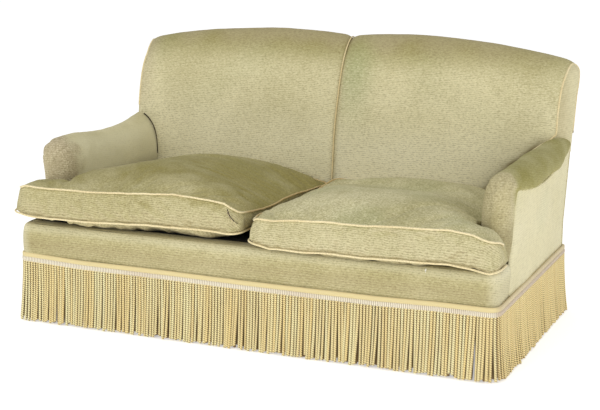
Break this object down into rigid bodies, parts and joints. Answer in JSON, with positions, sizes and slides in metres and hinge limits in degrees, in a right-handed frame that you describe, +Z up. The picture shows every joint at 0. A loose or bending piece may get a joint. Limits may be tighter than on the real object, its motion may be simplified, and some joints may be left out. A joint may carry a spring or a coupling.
{
  "type": "upholstered two-seat sofa",
  "caption": "Low roll-arm sofa with a sprung seat, loose T-shaped feather cushions, piped velvet covers and a deep bullion fringe hiding the legs.",
  "frame": {"origin": "middle of the footprint, on the floor", "axes": "+X to the right of someone facing the sofa, along its length; +Y towards the back; +Z up"},
  "size_m": [1.744, 1.038, 0.9237],
  "materials": {
    "beech": "planed and unfinished",
    "dark_wood": "stained and waxed",
    "spring_steel": "drawn wire",
    "jute": "coarse woven webbing",
    "hessian": "open plain weave",
    "hair": "curled hair under calico",
    "velvet": "worn ribbed chenille velvet, pale sage",
    "cushion_velvet": "the same velvet, darker where the pile is crushed",
    "piping": "cream bias-covered cord",
    "lining": "thin black lining",
    "bullion_yarn": "twisted rayon cords in gold and cream"
  },
  "bodies": {
    "root": {"arm_post_left": "beech", "arm_post_right": "beech", "arm_rail_left": "beech", "arm_rail_right": "beech", "arm_stuffing_left": "hair", "arm_stuffing_right": "hair", "arm_tacking_rail_left": "beech", "arm_tacking_rail_right": "beech", "back_border_left": "velvet", "back_border_right": "velvet", "back_centre_slat": "beech", "back_lower_rail": "beech", "back_rail": "beech", "back_stuffing": "hair", "back_top_rail": "beech", "back_upright_left": "beech", "back_upright_right": "beech", "back_webbing": "jute", "bullion_fringe": "bullion_yarn", "corner_brace_back_left": "beech", "corner_brace_back_right": "beech", "corner_brace_front_left": "beech", "corner_brace_front_right": "beech", "dust_cover": "lining", "front_border": "velvet", "front_leg_left": "dark_wood", "front_leg_right": "dark_wood", "front_rail": "beech", "inside_arm_cover_left": "velvet", "inside_arm_cover_right": "velvet", "inside_back_panel_left": "velvet", "inside_back_panel_right": "velvet", "outside_arm_panel_left": "velvet", "outside_arm_panel_right": "velvet", "outside_back_panel": "velvet", "platform_cloth": "lining", "seat_cushion_left": "cushion_velvet", "seat_cushion_right": "cushion_velvet", "seat_spring_01": "spring_steel", "seat_spring_02": "spring_steel", "seat_spring_03": "spring_steel", "seat_spring_04": "spring_steel", "seat_spring_05": "spring_steel", "seat_spring_06": "spring_steel", "seat_spring_07": "spring_steel", "seat_spring_08": "spring_steel", "seat_spring_09": "spring_steel", "seat_spring_10": "spring_steel", "seat_spring_11": "spring_steel", "seat_spring_12": "spring_steel", "seat_spring_13": "spring_steel", "seat_spring_14": "spring_steel", "seat_spring_15": "spring_steel", "seat_stuffing": "hair", "seat_webbing": "jute", "side_rail_left": "beech", "side_rail_right": "beech", "spring_canvas": "hessian"}
  },
  "joints": []
}
